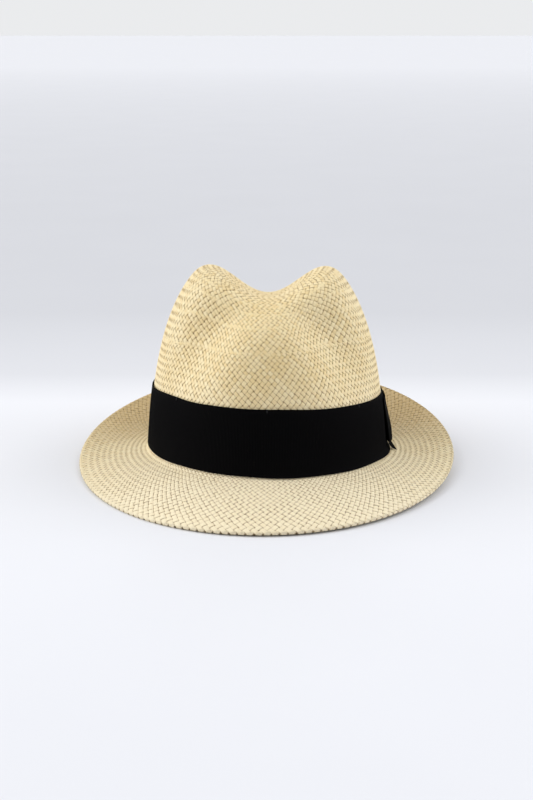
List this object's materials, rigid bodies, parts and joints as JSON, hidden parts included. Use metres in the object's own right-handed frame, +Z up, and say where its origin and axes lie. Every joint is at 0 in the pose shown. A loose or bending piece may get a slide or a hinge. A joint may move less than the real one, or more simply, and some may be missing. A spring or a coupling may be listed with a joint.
{
  "type": "straw fedora hat",
  "caption": "Woven straw fedora with a dented, front-pinched crown, black ribbon band with a flat side bow, a brim snapped down in front and turned up behind, and a sewn sweatband.",
  "frame": {"origin": "on the ground under the centre of the bounding box", "axes": "+Z up, -Y towards the front of the hat, +X towards the wearer's left, where the bow is; the hat rests on the front edge of its brim and on the back of the brim's roll"},
  "size_m": [0.2668, 0.2915, 0.1399],
  "materials": {
    "straw": "natural woven toquilla straw, satin",
    "grosgrain": "black ribbed ribbon, matt with a soft sheen",
    "black_thread": "sewing thread",
    "sweatband_leather": "smooth brown leather",
    "reed_plastic": "plain",
    "tape": "thin binding tape",
    "cream_thread": "sewing thread",
    "tab_cloth": "blank woven tab"
  },
  "bodies": {
    "root": {"straw_body": "straw", "hat_band": "grosgrain", "band_tacks": "black_thread", "bow_loops": "grosgrain", "bow_knot": "grosgrain", "bow_tail": "grosgrain", "bow_tacks": "black_thread", "sweatband": "sweatband_leather", "sweatband_reed": "reed_plastic", "reed_tape": "tape", "sweatband_stitches": "cream_thread", "sweatband_seam_stitches": "cream_thread", "inner_bow_loops": "grosgrain", "inner_bow_knot": "grosgrain", "size_tab": "tab_cloth"}
  },
  "joints": []
}
